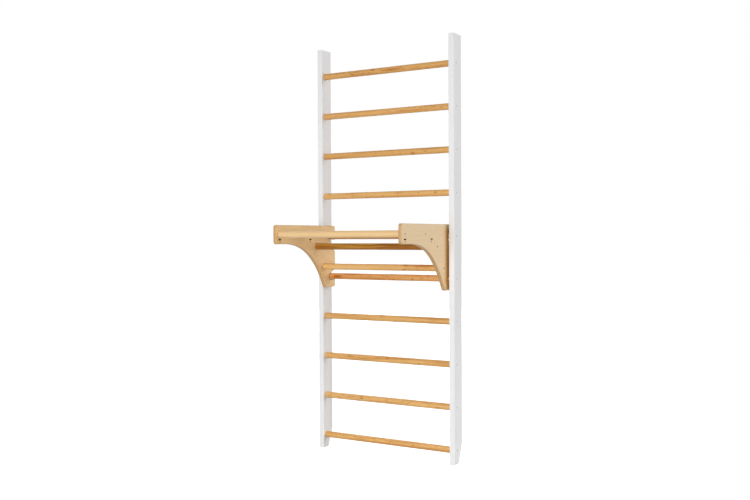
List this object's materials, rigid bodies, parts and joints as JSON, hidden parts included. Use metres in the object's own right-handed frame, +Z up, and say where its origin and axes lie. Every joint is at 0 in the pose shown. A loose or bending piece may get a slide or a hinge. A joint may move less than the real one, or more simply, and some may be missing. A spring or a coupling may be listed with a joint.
{
  "type": "wall bars",
  "caption": "Wall ladder with white uprights and round wooden rungs, and a hook-on grip bar unit with curved plywood side plates that tilts up and lifts off.",
  "frame": {"origin": "on the wall plane at floor level, midway between the uprights", "axes": "+X along the rungs to the right as seen from the room, +Y into the wall, +Z up"},
  "size_m": [0.832, 0.557, 2.196],
  "materials": {
    "white_lacquer": "satin white lacquer",
    "rung_pine": "clear satin lacquer on pine",
    "bar_wood": "clear satin lacquer on pine",
    "plate_plywood": "clear satin lacquer on plywood",
    "screw_zinc": "zinc plated"
  },
  "bodies": {
    "ladder": {"upright_left": "white_lacquer", "upright_right": "white_lacquer", "rung_01": "rung_pine", "rung_02": "rung_pine", "rung_03": "rung_pine", "rung_04": "rung_pine", "rung_05": "rung_pine", "rung_06": "rung_pine", "rung_07": "rung_pine", "rung_08": "rung_pine", "rung_09": "rung_pine", "rung_10": "rung_pine", "rung_screw_left_01": "screw_zinc", "rung_screw_left_02": "screw_zinc", "rung_screw_left_03": "screw_zinc", "rung_screw_left_04": "screw_zinc", "rung_screw_left_05": "screw_zinc", "rung_screw_left_06": "screw_zinc", "rung_screw_left_07": "screw_zinc", "rung_screw_left_08": "screw_zinc", "rung_screw_left_09": "screw_zinc", "rung_screw_left_10": "screw_zinc", "rung_screw_right_01": "screw_zinc", "rung_screw_right_02": "screw_zinc", "rung_screw_right_03": "screw_zinc", "rung_screw_right_04": "screw_zinc", "rung_screw_right_05": "screw_zinc", "rung_screw_right_06": "screw_zinc", "rung_screw_right_07": "screw_zinc", "rung_screw_right_08": "screw_zinc", "rung_screw_right_09": "screw_zinc", "rung_screw_right_10": "screw_zinc"},
    "bar_unit": {"side_plate_left": "plate_plywood", "side_plate_right": "plate_plywood", "front_bar": "bar_wood", "middle_bar": "bar_wood", "rear_upper_bar": "bar_wood", "rear_lower_bar": "bar_wood", "front_bar_screw_left": "screw_zinc", "front_bar_screw_right": "screw_zinc", "middle_bar_screw_left": "screw_zinc", "middle_bar_screw_right": "screw_zinc", "rear_upper_bar_screw_left": "screw_zinc", "rear_upper_bar_screw_right": "screw_zinc", "rear_lower_bar_screw_left": "screw_zinc", "rear_lower_bar_screw_right": "screw_zinc"}
  },
  "joints": [
    {"name": "bar_unit_tilt", "type": "hinge", "parent": "ladder", "child": "bar_unit", "pos_m": [0, -0.058, 1.17], "axis": [-1, 0, 0], "range_deg": [0, 24]}
  ]
}
